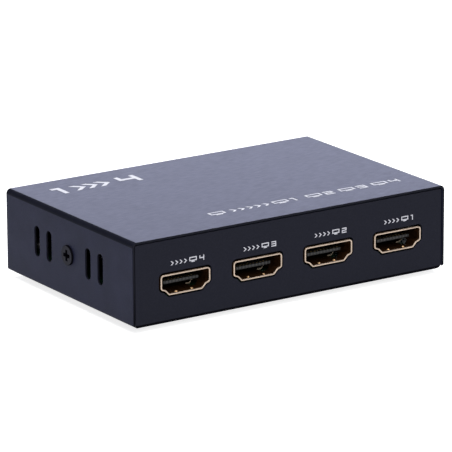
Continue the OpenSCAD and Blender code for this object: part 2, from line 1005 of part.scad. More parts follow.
module switch_frame() {
    color("#b4b8bf")
    at_rear(switch_x) {
        difference() {
            translate([-switch_w / 2, 0, 0])
                cube([switch_w, switch_len, switch_h]);
            translate([switch_t - switch_w / 2, switch_t, switch_t])
                cube([switch_w - 2 * switch_t, switch_len, switch_h - 2 * switch_t]);
            translate([-knob_slot_w / 2, -past, switch_mid - knob_slot_h / 2])
                cube([knob_slot_w, switch_t + 2 * past, knob_slot_h]);
        }
        for (side = [-1, 1])
            translate([side * (switch_w - switch_t) / 2, switch_leg_y, -board_t - lead_past])
                pad([switch_t, switch_leg_w, board_t + lead_past + switch_mid]);
    }
}

module switch_base() {
    inset = switch_t + seat_gap;
    color("#7a4a2c")
    at_rear(switch_x)
        translate([inset - switch_w / 2, switch_len - switch_base_t, inset])
            cube([switch_w - 2 * inset, switch_base_t, switch_h - 2 * inset]);
}

module switch_terminals() {
    color("#c8cbd0")
    at_rear(switch_x)
        for (k = [-1:1])
            translate([k * terminal_pitch, switch_len + terminal_t / 2, -board_t - lead_past])
                pad([terminal_w, terminal_t, board_t + lead_past + switch_mid]);
}

// The slider at the end of its travel nearest the middle of the case
module switch_slider() {
    color("#202024")
    at_rear(switch_x)
        translate([switch_travel / 2, 0, switch_mid]) {
            translate([-carriage_w / 2, carriage_from, -carriage_h / 2])
                cube([carriage_w, carriage_len, carriage_h]);
            difference() {
                translate([-knob_w / 2, -knob_tip, -knob_h / 2])
                    cube([knob_w, knob_tip + carriage_from, knob_h]);
                for (k = [-1:1])
                    translate([k * groove_pitch - groove_w / 2, -knob_tip - past, -knob_h / 2 - past])
                        cube([groove_w, groove_depth + past, knob_h + 2 * past]);
            }
        }
}

module power_light() {
    color("#b8323a")
    at_rear(light_x)
        translate([0, -light_tip, light_axis]) {
            translate([0, light_d / 2, 0]) {
                sphere(d = light_d);
                rod(light_d, light_len - light_d / 2);
            }
            translate([0, light_len - light_rim_t, 0])
                rod(light_rim_d, light_rim_t);
        }
}

module light_leads() {
    low = light_axis - light_lead_w / 2;
    foot = -board_t - lead_past;
    bend = light_back + light_lead_out;
    color("#c8cbd0")
    at_rear(light_x)
        for (side = [-1, 1])
            translate([side * light_lead_x, 0, 0])
                drawn_across(light_lead_w)
                    polygon([
                        [light_back, low],
                        [bend, low],
                        [bend, foot],
                        [bend + light_lead_w, foot],
                        [bend + light_lead_w, low + light_lead_w],
                        [light_back, low + light_lead_w]
                    ]);
}

module splitter_chip() {
    color("#222226")
    on_board(splitter_at)
        pad([splitter_w, splitter_w, splitter_t]);
}

module microcontroller() {
    color("#222226")
    on_board(micro_at)
        pad([micro_w, micro_len, small_chip_t]);
}

module memory_chip() {
    color("#222226")
    on_board(memory_at)
        pad([memory_w, memory_len, small_chip_t]);
}

// Bent leads along both sides of a chip of the given width
module lead_rows(chip_w, count, pitch) {
    top = chip_lead_rise + chip_lead_t;
    for (turn = [0, 180])
        rotate([0, 0, turn])
            for (k = [0:count - 1])
                translate([chip_w / 2, (k - (count - 1) / 2) * pitch - chip_lead_w / 2, 0])
                    drawn_back(chip_lead_w)
                        polygon([
                            [0, chip_lead_rise],
                            [chip_lead_knee, chip_lead_rise],
                            [chip_lead_knee, 0],
                            [chip_lead_out, 0],
                            [chip_lead_out, chip_lead_t],
                            [chip_lead_knee + chip_lead_t, chip_lead_t],
                            [chip_lead_knee + chip_lead_t, top],
                            [0, top]
                        ]);
}

module chip_leads() {
    color("#b9bcc2") {
        on_board(micro_at)
            lead_rows(micro_w, micro_leads, micro_lead_pitch);
        on_board(memory_at)
            lead_rows(memory_w, memory_leads, memory_lead_pitch);
    }
}

module voltage_regulators() {
    color("#2a2a2e")
    for (place = regulator_places)
        on_board(place) {
            pad(regulator_size);
            translate([0, (regulator_size.y + regulator_tab.y) / 2 - past, 0])
                pad([regulator_tab.x, regulator_tab.y + past, regulator_tab.z]);
        }
}

module crystal() {
    straight = crystal_len - crystal_w;
    color("#c2c5ca")
    on_board(crystal_at) {
        pad([straight, crystal_w, crystal_h]);
        for (end = [-1, 1])
            translate([end * straight / 2, 0, 0])
                cylinder(d = crystal_w, h = crystal_h);
    }
}

module power_inductor() {
    color("#3a3a3e")
    on_board(coil_at)
        intersection() {
            pad([coil_w, coil_w, coil_h]);
            rotate([0, 0, 45])
                pad([coil_w * sqrt(2) - coil_corner, coil_w * sqrt(2) - coil_corner, coil_h]);
        }
}

module electrolytic_capacitors() {
    seat_w = can_d + 2 * can_seat_over;
    color("#a9adb4")
    for (place = can_places)
        on_board(place) {
            pad([seat_w, seat_w, can_seat_h]);
            cylinder(d = can_d, h = can_h);
        }
}

// A row of small chips along X, centred on the place
module chip_row(count, pitch) {
    for (k = [0:count - 1])
        translate([(k - (count - 1) / 2) * pitch, 0, 0])
            pad(chip_size);
}

module chip_capacitors() {
    color("#8a6d50")
    for (side = [-1, 1])
        on_board(splitter_at + [0, side * capacitor_off])
            chip_row(capacitor_count, capacitor_pitch);
}

module chip_resistors() {
    color("#1c1c1e")
    on_board(micro_at + [-resistor_off, 0])
        rotate([0, 0, 90])
            chip_row(resistor_count, resistor_pitch);
}

module surge_arrays() {
    color("#222226")
    at_every_socket()
        for (side = [-1, 1])
            translate([side * array_x, array_y, 0])
                pad(array_size);
}

top_cover();
base_tray();
cover_screws();
rubber_feet();
circuit_board();
standoffs();
board_screws();
for (n = [1:output_count]) {
    output_shell(n);
    output_tongue(n);
    output_contacts(n);
}
input_shell();
input_tongue();
input_contacts();
power_jack_body();
power_jack_pin();
power_jack_leaf();
switch_frame();
switch_base();
switch_terminals();
switch_slider();
power_light();
light_leads();
splitter_chip();
microcontroller();
memory_chip();
chip_leads();
voltage_regulators();
crystal();
power_inductor();
electrolytic_capacitors();
chip_capacitors();
chip_resistors();
surge_arrays();
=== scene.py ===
"""Looks of a small one-to-four video splitter: a folded black case, gold sockets and white print.

Metres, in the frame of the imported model: X runs along the case, the outputs face -Y and Z is up.
"""
import json
import math

import bmesh
import bpy
from mathutils import Matrix, Vector


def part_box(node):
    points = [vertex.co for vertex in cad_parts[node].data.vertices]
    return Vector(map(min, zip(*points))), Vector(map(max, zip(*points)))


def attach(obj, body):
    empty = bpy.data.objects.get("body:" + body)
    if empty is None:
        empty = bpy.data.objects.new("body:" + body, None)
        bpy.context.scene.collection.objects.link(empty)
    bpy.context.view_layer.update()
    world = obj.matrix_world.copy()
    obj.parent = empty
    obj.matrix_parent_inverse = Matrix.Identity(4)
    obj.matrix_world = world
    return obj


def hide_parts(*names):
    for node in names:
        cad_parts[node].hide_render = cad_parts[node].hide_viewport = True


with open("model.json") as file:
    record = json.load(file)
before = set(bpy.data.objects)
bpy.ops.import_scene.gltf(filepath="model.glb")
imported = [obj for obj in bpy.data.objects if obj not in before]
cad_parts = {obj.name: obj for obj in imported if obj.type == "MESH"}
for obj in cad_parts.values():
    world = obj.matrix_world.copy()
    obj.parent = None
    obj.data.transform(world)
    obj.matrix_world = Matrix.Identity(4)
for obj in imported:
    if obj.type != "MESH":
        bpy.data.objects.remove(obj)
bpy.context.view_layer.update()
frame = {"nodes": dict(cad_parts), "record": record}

MM = 0.001
CASE = "case"
SLIDER = "slider"
node_slot = {part["node"]: part["material_slot"] for part in frame["record"]["subparts"]}
output_numbers = range(1, 5)

# Corners of the main pieces
cover_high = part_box("top_cover")[1]
tray_low, tray_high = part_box("base_tray")
feet_low, feet_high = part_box("rubber_feet")
screws_low, screws_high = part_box("cover_screws")
board_screws_low, board_screws_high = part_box("board_screws")
jack_low, jack_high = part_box("power_jack_body")
switch_low, switch_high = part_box("switch_frame")
light_low, light_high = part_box("power_light")
input_low, input_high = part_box("input_shell")

# Sizes that the model gives no box for
ink_t = 0.02 * MM
foot_d = 8 * MM
cover_bend = 1.3 * MM
screw_d = 3 * MM
screw_head_d = 5.2 * MM
screw_head_h = 0.55 * MM
screw_len = 5 * MM
board_screw_d = 2.5 * MM
board_screw_head_d = 4.6 * MM
board_screw_head_h = 1.7 * MM
jack_axis = 6.5 * MM
shell_h = 5.5 * MM
shell_t = 0.4 * MM
dimple_x = 2.35 * MM
dimple_reach = 0.5 * MM
window_end = 5.9 * MM
label_z = 16.8 * MM

# Points closer than this are joined, and corners sharper than this are rounded or creased
weld = 0.001 * MM
sharp_corner = math.radians(35)

# A face looks straight along an axis when its normal has at least this share of it
straight = 0.9

# Most of a noise lies between these two values
noise_low, noise_high = 0.3, 0.7

# Tint of the light on matt black metal
cool_sheen = (0.65, 0.72, 1.0, 1)

# The directions right and up on the printed faces
front_face = ((1, 0, 0), (0, 0, 1))
top_face = ((1, 0, 0), (0, 1, 0))
rear_face = ((-1, 0, 0), (0, 0, 1))

# Width of a printed figure as a share of its height
figure_w = {1: 0.5, 2: 1.05, 3: 1.05, 4: 1.05}


def cube_of(size):
    return (size, size, size)


def scaled(colour, share):
    return [share * c for c in colour]


class Finish:
    """A material in the making: its shader and the noise that varies it."""

    def __init__(self, name, **settings):
        self.material = bpy.data.materials.new(name)
        self.material.use_nodes = True
        self.nodes = self.material.node_tree.nodes
        self.links = self.material.node_tree.links
        self.shader = self.nodes["Principled BSDF"]
        self.place = self.nodes.new("ShaderNodeTexCoord").outputs["Object"]
        self.relief = None
        for label, value in settings.items():
            self.shader.inputs[label.replace("_", " ")].default_value = value

    def stretched(self, size, turn=0.0):
        """The object's coordinates, counted in steps of the given size along each axis."""
        mapping = self.nodes.new("ShaderNodeMapping")
        mapping.vector_type = "TEXTURE"
        mapping.inputs["Scale"].default_value = size
        mapping.inputs["Rotation"].default_value = (0, 0, turn)
        self.links.new(self.place, mapping.inputs["Vector"])
        return mapping.outputs["Vector"]

    def grain(self, size, detail=2.0):
        """Noise with spots of about the given size along each axis."""
        noise = self.nodes.new("ShaderNodeTexNoise")
        noise.inputs["Scale"].default_value = 1
        noise.inputs["Detail"].default_value = detail
        self.links.new(self.stretched(size), noise.inputs["Vector"])
        return noise.outputs["Fac"]

    def speckle(self, size):
        """Distance from scattered points that lie about the given size apart."""
        cells = self.nodes.new("ShaderNodeTexVoronoi")
        cells.inputs["Scale"].default_value = 1
        self.links.new(self.stretched(cube_of(size)), cells.inputs["Vector"])
        return cells.outputs["Distance"]

    def tones(self, value, *stops):
        """A colour that follows a value through (place, colour) stops."""
        ramp = self.nodes.new("ShaderNodeValToRGB")
        elements = ramp.color_ramp.elements
        while len(elements) < len(stops):
            elements.new(0.5)
        for element, (place, colour) in zip(elements, stops):
            element.position = place
            element.color = (*colour, 1)
        self.links.new(value, ramp.inputs["Fac"])
        return ramp.outputs["Color"]

    def varied(self, value, first, second):
        """A colour that goes from one to another over the usual range of a noise."""
        return self.tones(value, (noise_low, first), (noise_high, second))

    def span(self, value, low, high):
        """The usual range of a noise, spread from low to high."""
        spread = self.nodes.new("ShaderNodeMapRange")
        spread.inputs["From Min"].default_value = noise_low
        spread.inputs["From Max"].default_value = noise_high
        spread.inputs["To Min"].default_value = low
        spread.inputs["To Max"].default_value = high
        self.links.new(value, spread.inputs["Value"])
        return spread.outputs["Result"]

    def past(self, axis, low, high):
        """A share that goes from 0 to 1 between two distances from the middle along an axis."""
        parts = self.nodes.new("ShaderNodeSeparateXYZ")
        away = self.nodes.new("ShaderNodeMath")
        away.operation = "ABSOLUTE"
        rise = self.nodes.new("ShaderNodeMapRange")
        rise.inputs["From Min"].default_value = low
        rise.inputs["From Max"].default_value = high
        self.links.new(self.place, parts.inputs["Vector"])
        self.links.new(parts.outputs[axis], away.inputs[0])
        self.links.new(away.outputs["Value"], rise.inputs["Value"])
        return rise.outputs["Result"]

    def mixed(self, share, first, second):
        """Two colours, mixed by a share from 0 to 1."""
        mix = self.nodes.new("ShaderNodeMix")
        mix.data_type = "RGBA"
        self.links.new(share, mix.inputs["Factor"])
        self.links.new(first, mix.inputs["A"])
        self.links.new(second, mix.inputs["B"])
        return mix.outputs["Result"]

    def coloured(self, colour):
        """Takes a colour from the nodes."""
        self.links.new(colour, self.shader.inputs["Base Color"])
        return self

    def roughened(self, value, low, high):
        """Lets the roughness follow a noise, from low to high."""
        self.links.new(self.span(value, low, high), self.shader.inputs["Roughness"])
        return self

    def bumped(self, value, depth):
        """Adds a relief of the given depth to those that are there already."""
        bump = self.nodes.new("ShaderNodeBump")
        bump.inputs["Distance"].default_value = depth
        bump.inputs["Strength"].default_value = 1
        self.links.new(value, bump.inputs["Height"])
        if self.relief:
            self.links.new(self.relief, bump.inputs["Normal"])
        self.relief = bump.outputs["Normal"]
        self.links.new(self.relief, self.shader.inputs["Normal"])
        return self


def brushed_black():
    """Black anodised top whose brush marks run along the case."""
    finish = Finish("brushed_black", Metallic=1.0, Specular_Tint=(0.735, 0.735, 0.825, 1))
    marks = finish.grain((2.4 * MM, 0.28 * MM, 0.28 * MM), detail=3)
    long_marks = finish.grain((9 * MM, 0.12 * MM, 0.12 * MM), detail=2)
    fine = finish.varied(marks, (0.018, 0.019, 0.025), (0.062, 0.064, 0.078))
    broad = finish.varied(long_marks, (0.026, 0.027, 0.034), (0.052, 0.054, 0.066))
    patches = finish.span(finish.grain(cube_of(18 * MM)), 0.35, 0.65)
    finish.coloured(finish.mixed(patches, fine, broad))
    finish.roughened(marks, 0.3, 0.42)
    return finish.bumped(marks, 0.004 * MM).bumped(long_marks, 0.002 * MM).material


def matt_black(name, colour, level):
    """Matt anodised metal with a fine even tooth."""
    finish = Finish(name, Specular_IOR_Level=level, Specular_Tint=cool_sheen)
    tooth = finish.grain(cube_of(0.18 * MM), detail=3)
    clouds = finish.grain(cube_of(7 * MM), detail=2)
    light = scaled(colour, 1.3)
    finish.coloured(finish.varied(clouds, colour, light))
    return finish.roughened(tooth, 0.46, 0.6).bumped(tooth, 0.006 * MM).material


def sheared_edge():
    """Cut edges of the cover: dark, with marks of the shear across the sheet."""
    finish = Finish("sheared_edge", Specular_IOR_Level=0.05, Specular_Tint=cool_sheen)
    marks = finish.grain((0.15 * MM, 1.2 * MM, 1.2 * MM), detail=2)
    finish.coloured(finish.varied(marks, (0.0075, 0.0078, 0.0115), (0.0095, 0.0098, 0.0145)))
    return finish.roughened(marks, 0.5, 0.7).bumped(marks, 0.004 * MM).material


def powder_black():
    """Powder-coated tray with a faint orange peel."""
    finish = Finish("powder_black", Specular_IOR_Level=0.06, Specular_Tint=cool_sheen)
    peel = finish.grain(cube_of(0.5 * MM), detail=2)
    tooth = finish.grain(cube_of(0.12 * MM), detail=2)
    finish.coloured(finish.varied(peel, (0.0093, 0.0096, 0.0145), (0.0115, 0.0119, 0.018)))
    finish.roughened(tooth, 0.4, 0.55)
    return finish.bumped(peel, 0.008 * MM).bumped(tooth, 0.003 * MM).material


def plated(name, colour, smooth=0.22):
    """A plated metal with rolling marks and slight stains."""
    finish = Finish(name, Metallic=1.0)
    stains = finish.grain(cube_of(2.5 * MM), detail=3)
    rolling = finish.grain((0.35 * MM, 2.8 * MM, 0.35 * MM), detail=2)
    dimmed = scaled(colour, 0.86)
    finish.coloured(finish.varied(stains, dimmed, colour))
    finish.roughened(rolling, smooth, smooth + 0.14)
    return finish.bumped(rolling, 0.002 * MM).material


def painted_shade_gold():
    """Plating of a socket shell behind its mouth: stained gold in painted shade, and bright only close to the
    lip.
    """
    finish = Finish("painted_shade_gold", Specular_IOR_Level=0.08, Specular_Tint=(1.0, 0.6, 0.35, 1))
    stains = finish.grain(cube_of(0.9 * MM), detail=3)
    # Painted shade: the dark tone deep in the socket, where little light reaches
    dark = finish.varied(stains, (0.009, 0.0035, 0.0012), (0.027, 0.0115, 0.0045))
    lip = finish.varied(stains, (0.36, 0.26, 0.18), (0.44, 0.32, 0.23))
    lip_end, lip_start = 0.22 * MM, 0.14 * MM
    mouth = finish.past("Y", input_high.y - lip_end, input_high.y - lip_start)
    finish.coloured(finish.mixed(mouth, dark, lip))
    return finish.roughened(stains, 0.4, 0.6).material


def moulded(name, colour, smooth, level=0.5):
    """A moulded plastic or resin with a fine spark-eroded texture and slight flow marks."""
    finish = Finish(name, Specular_IOR_Level=level)
    texture = finish.grain(cube_of(0.09 * MM), detail=3)
    flow = finish.grain((3 * MM, 1.2 * MM, 1.2 * MM), detail=2)
    light = scaled(colour, 1.3)
    finish.coloured(finish.varied(flow, colour, light))
    return finish.roughened(texture, smooth, smooth + 0.2).bumped(texture, 0.005 * MM).material


def tongue_plastic():
    """Dark moulded tongue of a socket, with contact slots as paler stripes and its lower edge in shade."""
    finish = Finish("tongue_plastic", Specular_IOR_Level=0.25)
    slots = finish.nodes.new("ShaderNodeTexWave")
    # One stripe for each millimetre
    slots.inputs["Scale"].default_value = math.pi / 10
    finish.links.new(finish.stretched(cube_of(1 * MM)), slots.inputs["Vector"])
    stripes = slots.outputs["Fac"]
    pale = finish.varied(stripes, (0.013, 0.013, 0.0136), (0.046, 0.045, 0.045))
    shaded = finish.varied(stripes, (0.003, 0.003, 0.003), (0.005, 0.005, 0.005))
    middle = input_high.z - shell_h / 2
    shade_end, stripe_start = 0.25 * MM, 0.17 * MM
    front = finish.past("Z", middle - shade_end, middle - stripe_start)
    finish.coloured(finish.mixed(front, shaded, pale))
    texture = finish.grain(cube_of(0.09 * MM), detail=3)
    return finish.roughened(texture, 0.4, 0.6).bumped(texture, 0.005 * MM).material


def black_oxide():
    """Blackened steel of the end screws."""
    finish = Finish("black_oxide", Specular_IOR_Level=0.05, Specular_Tint=(0.75, 0.75, 1.0, 1))
    wear = finish.grain(cube_of(0.4 * MM), detail=4)
    finish.coloured(finish.tones(wear, (0.35, (0.0072, 0.0072, 0.0118)), (0.75, (0.0112, 0.0112, 0.0182))))
    return finish.roughened(wear, 0.38, 0.5).bumped(wear, 0.004 * MM).material


def foot_rubber():
    """Dusty moulded rubber with fine pores."""
    finish = Finish("foot_rubber", Specular_IOR_Level=0.3)
    dust = finish.grain(cube_of(1.1 * MM), detail=4)
    pores = finish.speckle(0.16 * MM)
    finish.coloured(finish.tones(dust, (0.35, (0.010, 0.010, 0.011)), (0.75, (0.026, 0.026, 0.027))))
    return finish.roughened(dust, 0.72, 0.88).bumped(pores, 0.01 * MM).material


def solder_mask():
    """Dark green board: copper areas under the mask, bare lanes between them and small plated vias."""
    finish = Finish("solder_mask", Specular_IOR_Level=0.08)
    lanes = finish.nodes.new("ShaderNodeTexBrick")
    lanes.offset = 0.5
    lanes.inputs["Scale"].default_value = 1
    lanes.inputs["Mortar Size"].default_value = 0.05
    lanes.inputs["Color1"].default_value = (0.004, 0.024, 0.011, 1)
    lanes.inputs["Color2"].default_value = (0.005, 0.03, 0.013, 1)
    lanes.inputs["Mortar"].default_value = (0.0025, 0.014, 0.007, 1)
    finish.links.new(finish.stretched(cube_of(5 * MM), math.radians(45)), lanes.inputs["Vector"])
    vias = finish.speckle(2.6 * MM)
    ring = finish.tones(vias, (0.1, (1, 1, 1)), (0.12, (0, 0, 0)))
    tin = finish.tones(vias, (0.0, (0.004, 0.004, 0.004)), (0.06, (0.06, 0.06, 0.055)))
    finish.coloured(finish.mixed(ring, lanes.outputs["Color"], tin))
    weave = finish.grain(cube_of(0.3 * MM), detail=2)
    return finish.roughened(weave, 0.52, 0.64).bumped(lanes.outputs["Fac"], -0.02 * MM).material


def fired_ceramic():
    """Cloudy ceramic of the small capacitors."""
    finish = Finish("fired_ceramic", Specular_IOR_Level=0.45)
    clouds = finish.grain(cube_of(0.5 * MM), detail=3)
    finish.coloured(finish.varied(clouds, (0.2, 0.13, 0.07), (0.29, 0.2, 0.12)))
    return finish.roughened(clouds, 0.35, 0.5).material


def red_lens():
    """Tinted resin of the power light, unlit."""
    finish = Finish("red_lens", Transmission_Weight=0.45, IOR=1.52)
    haze = finish.grain(cube_of(0.8 * MM), detail=2)
    finish.coloured(finish.varied(haze, (0.38, 0.012, 0.015), (0.5, 0.022, 0.024)))
    return finish.roughened(haze, 0.1, 0.2).material


def white_ink():
    """Pad-printed ink, a little thin here and there."""
    finish = Finish("white_ink", Specular_IOR_Level=0.35)
    cover = finish.grain(cube_of(0.3 * MM), detail=3)
    finish.coloured(finish.tones(cover, (0.28, (0.41, 0.41, 0.45)), (0.55, (0.48, 0.48, 0.525))))
    return finish.roughened(cover, 0.4, 0.55).bumped(cover, 0.004 * MM).material


slot_finish = {
    "cover_metal": matt_black("matt_black", (0.0105, 0.0117, 0.026), 0.08),
    "tray_metal": powder_black(),
    "black_screw": black_oxide(),
    "foot_rubber": foot_rubber(),
    "board": solder_mask(),
    "plated_brass": plated("plated_brass", (0.62, 0.56, 0.42)),
    "zinc_screw": plated("zinc_screw", (0.26, 0.26, 0.275), 0.34),
    "gold_shell": plated("gold_shell", (0.47, 0.375, 0.3), 0.26),
    # The contacts' gold is darkened as painted shade, because they sit deep in the sockets
    "gold_contact": plated("gold_contact", (0.2, 0.142, 0.064), 0.3),
    "socket_plastic": tongue_plastic(),
    "jack_plastic": moulded("jack_plastic", (0.009, 0.009, 0.01), 0.36),
    "tinned_metal": plated("tinned_metal", (0.66, 0.66, 0.67), 0.28),
    "switch_steel": plated("switch_steel", (0.6, 0.6, 0.61), 0.26),
    "switch_laminate": moulded("switch_laminate", (0.11, 0.05, 0.022), 0.45),
    "knob_plastic": moulded("knob_plastic", (0.011, 0.011, 0.012), 0.38),
    "light_lens": red_lens(),
    "chip_resin": moulded("chip_resin", (0.012, 0.012, 0.013), 0.5),
    "can_metal": plated("can_metal", (0.74, 0.74, 0.76), 0.2),
    "ferrite": moulded("ferrite", (0.035, 0.035, 0.037), 0.6, 0.3),
    "capacitor_ceramic": fired_ceramic(),
}
top_finish = brushed_black()
# Painted shade on the cover's bends
painted_shade_bend_finish = matt_black("painted_shade_bend", (0.0055, 0.006, 0.0105), 0.03)
# Painted shade inside the socket shells
painted_shade_gold_finish = painted_shade_gold()
# Painted highlight on the dimples inside the sockets
dimple_highlight_finish = plated("dimple_painted_highlight", (1.0, 0.66, 0.36), 0.45)
# Painted glint on the far edge of each socket's window
far_edge_glint_finish = moulded("painted_glint_gold", (0.76, 0.62, 0.45), 0.3, 0.8)
edge_finish = sheared_edge()
# Painted shade for the screws' recesses and rims and under the tray's bends
shade_finish = matt_black("shaded_black", (0.003, 0.003, 0.0045), 0.0)
ink = white_ink()


def new_piece(name, mesh):
    """An object with the given mesh, put into the scene."""
    piece = bpy.data.objects.new(name, mesh)
    bpy.context.scene.collection.objects.link(piece)
    return piece


def mesh_from(shape, name):
    """A plain mesh from a shape in the making, which is then cleared away."""
    mesh = bpy.data.meshes.new(name)
    shape.to_mesh(mesh)
    shape.free()
    return mesh


def baked(piece):
    """Turns a piece and its modifiers into a plain mesh."""
    depsgraph = bpy.context.evaluated_depsgraph_get()
    mesh = bpy.data.meshes.new_from_object(piece.evaluated_get(depsgraph), depsgraph=depsgraph)
    piece.modifiers.clear()
    piece.data = mesh
    return piece


def rounded_edges(piece, edge, sheet=False):
    """Rounds every sharp corner, and keeps flat faces flat to the light."""
    piece.data.shade_smooth()
    bevel = piece.modifiers.new("edges", "BEVEL")
    bevel.width = edge
    bevel.segments = 2
    bevel.limit_method = "ANGLE"
    bevel.angle_limit = sharp_corner
    bevel.use_clamp_overlap = False
    bevel.loop_slide = False
    bevel.harden_normals = sheet
    if not sheet:
        piece.modifiers.new("flat faces", "WEIGHTED_NORMAL").keep_sharp = True
    return baked(piece)


def softened(node, edge, sheet=False):
    """A copy of a CAD node with its triangles joined and its corners rounded."""
    shape = bmesh.new()
    shape.from_mesh(frame["nodes"][node].data)
    bmesh.ops.remove_doubles(shape, verts=shape.verts, dist=weld)
    joined = bpy.data.meshes.new(node)
    joined.from_pydata([v.co for v in shape.verts], [], [[v.index for v in f.verts] for f in shape.faces])
    shape.free()
    return rounded_edges(new_piece(f"{node}_soft", joined), edge, sheet)


def dressed(piece, node, body=CASE):
    """The piece stands for a CAD node, with that node's finish unless it has its own."""
    if not piece.data.materials:
        piece.data.materials.append(slot_finish[node_slot[node]])
    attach(piece, body)
    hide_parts(node)
    return piece


def turned(name, profile, sides=48):
    """A solid turned about Z from (radius, height) points that start and end on the axis."""
    shape = bmesh.new()
    rings = []
    for radius, height in profile:
        count = 1 if radius == 0 else sides
        angles = [2 * math.pi * k / sides for k in range(count)]
        rings.append([shape.verts.new((radius * math.cos(a), radius * math.sin(a), height)) for a in angles])
    for low, high in zip(rings, rings[1:]):
        for near in range(sides):
            far = (near + 1) % sides
            corners = [low[k % len(low)] for k in (near, far)] + [high[k % len(high)] for k in (far, near)]
            shape.faces.new(list(dict.fromkeys(corners)))
    bmesh.ops.recalc_face_normals(shape, faces=shape.faces)
    return new_piece(name, mesh_from(shape, name))


def cut_cross(blank, head_d, depth):
    """Cuts a cross recess with sloping sides into the top of a screw that ends at z = 0."""
    reach = 0.58 * head_d / 2
    wing_half = 0.5 * MM
    top_slope, bottom_slope = 1.45, 0.55
    for turn in (0, 1):
        shape = bmesh.new()
        bmesh.ops.create_cube(shape, size=2)
        for vert in shape.verts:
            slope = top_slope if vert.co.z > 0 else bottom_slope
            vert.co = (vert.co.x * reach * slope, vert.co.y * wing_half * slope, vert.co.z * depth)
        bmesh.ops.rotate(shape, verts=shape.verts, matrix=Matrix.Rotation(turn * math.pi / 2, 3, "Z"))
        wing = new_piece("wing", mesh_from(shape, "wing"))
        cut = blank.modifiers.new("recess", "BOOLEAN")
        cut.object = wing
        baked(blank)
        bpy.data.objects.remove(wing)
    shape = bmesh.new()
    shape.from_mesh(blank.data)
    bmesh.ops.remove_doubles(shape, verts=shape.verts, dist=weld)
    shape.to_mesh(blank.data)
    shape.free()
    blank.data.shade_smooth()
    blank.data.set_sharp_from_angle(angle=sharp_corner)
    return blank


def threaded(radius, start, end, pitch=0.5 * MM):
    """Profile points of a thread as a row of ridges, from one height down to another."""
    count = round((start - end) / pitch)
    depth, valley, crest = 0.6, 0.05, 0.5
    root = radius - depth * pitch
    points = []
    for k in range(count):
        points.append((root, start - (k + valley) * pitch))
        points.append((radius, start - (k + crest) * pitch))
    return points + [(root, end)]


def new_tree(name, inputs):
    """An empty Geometry Nodes tree with named inputs, and its first nodes."""
    tree = bpy.data.node_groups.new(name, "GeometryNodeTree")
    for label, kind in inputs:
        tree.interface.new_socket(label, in_out="INPUT", socket_type=kind)
    tree.interface.new_socket("Geometry", in_out="OUTPUT", socket_type="NodeSocketGeometry")
    given = tree.nodes.new("NodeGroupInput").outputs
    return tree, given


def set_out(tree, given, points, rotation=None):
    """Ends a tree: the shape on every point, made real and given its finish."""
    shape = tree.nodes.new("GeometryNodeObjectInfo")
    place = tree.nodes.new("GeometryNodeInstanceOnPoints")
    real = tree.nodes.new("GeometryNodeRealizeInstances")
    finish = tree.nodes.new("GeometryNodeSetMaterial")
    end = tree.nodes.new("NodeGroupOutput")
    tree.links.new(given["Shape"], shape.inputs["Object"])
    tree.links.new(points, place.inputs["Points"])
    tree.links.new(shape.outputs["Geometry"], place.inputs["Instance"])
    if rotation:
        tree.links.new(rotation, place.inputs["Rotation"])
    tree.links.new(place.outputs["Instances"], real.inputs["Geometry"])
    tree.links.new(real.outputs["Geometry"], finish.inputs["Geometry"])
    tree.links.new(given["Finish"], finish.inputs["Material"])
    tree.links.new(finish.outputs["Geometry"], end.inputs["Geometry"])
    return tree


def grid_tree():
    """Sets a shape out in even rows about a middle."""
    tree, given = new_tree("even_rows", [
        ("Shape", "NodeSocketObject"),
        ("Finish", "NodeSocketMaterial"),
        ("Across", "NodeSocketInt"),
        ("Deep", "NodeSocketInt"),
        ("Width", "NodeSocketFloat"),
        ("Depth", "NodeSocketFloat"),
        ("Middle", "NodeSocketVector"),
    ])
    grid = tree.nodes.new("GeometryNodeMeshGrid")
    move = tree.nodes.new("GeometryNodeTransform")
    sockets = {"Across": "Vertices X", "Deep": "Vertices Y", "Width": "Size X", "Depth": "Size Y"}
    for label, socket in sockets.items():
        tree.links.new(given[label], grid.inputs[socket])
    tree.links.new(grid.outputs["Mesh"], move.inputs["Geometry"])
    tree.links.new(given["Middle"], move.inputs["Translation"])
    return set_out(tree, given, move.outputs["Geometry"])


def both_ends_tree():
    """Sets a shape that faces -X at one end of the case, and turns it round at the other."""
    tree, given = new_tree("both_ends", [
        ("Shape", "NodeSocketObject"),
        ("Finish", "NodeSocketMaterial"),
        ("Left", "NodeSocketVector"),
        ("Right", "NodeSocketVector"),
    ])
    line = tree.nodes.new("GeometryNodeMeshLine")
    line.mode = "END_POINTS"
    line.inputs["Count"].default_value = 2
    index = tree.nodes.new("GeometryNodeInputIndex")
    half_turn = tree.nodes.new("ShaderNodeMath")
    half_turn.operation = "MULTIPLY"
    half_turn.inputs[1].default_value = math.pi
    about_z = tree.nodes.new("ShaderNodeCombineXYZ")
    tree.links.new(given["Left"], line.inputs["Start Location"])
    tree.links.new(given["Right"], line.inputs["Offset"])
    tree.links.new(index.outputs["Index"], half_turn.inputs[0])
    tree.links.new(half_turn.outputs["Value"], about_z.inputs["Z"])
    return set_out(tree, given, line.outputs["Mesh"], about_z.outputs["Vector"])


def grown(tree, name, shape, finish, **inputs):
    """Runs a tree on a shape, keeps the result as a plain piece and clears the shape away."""
    piece = new_piece(name, bpy.data.meshes.new(name))
    nodes = piece.modifiers.new(tree.name, "NODES")
    nodes.node_group = tree
    values = {"Shape": shape, "Finish": finish, **inputs}
    for item in tree.interface.items_tree:
        if item.in_out == "INPUT":
            nodes[item.identifier] = values[item.name]
    baked(piece)
    # The tree leaves an empty slot before the finish
    piece.data.materials.clear()
    piece.data.materials.append(finish)
    bpy.data.objects.remove(shape)
    return piece


even_rows = grid_tree()
both_ends = both_ends_tree()


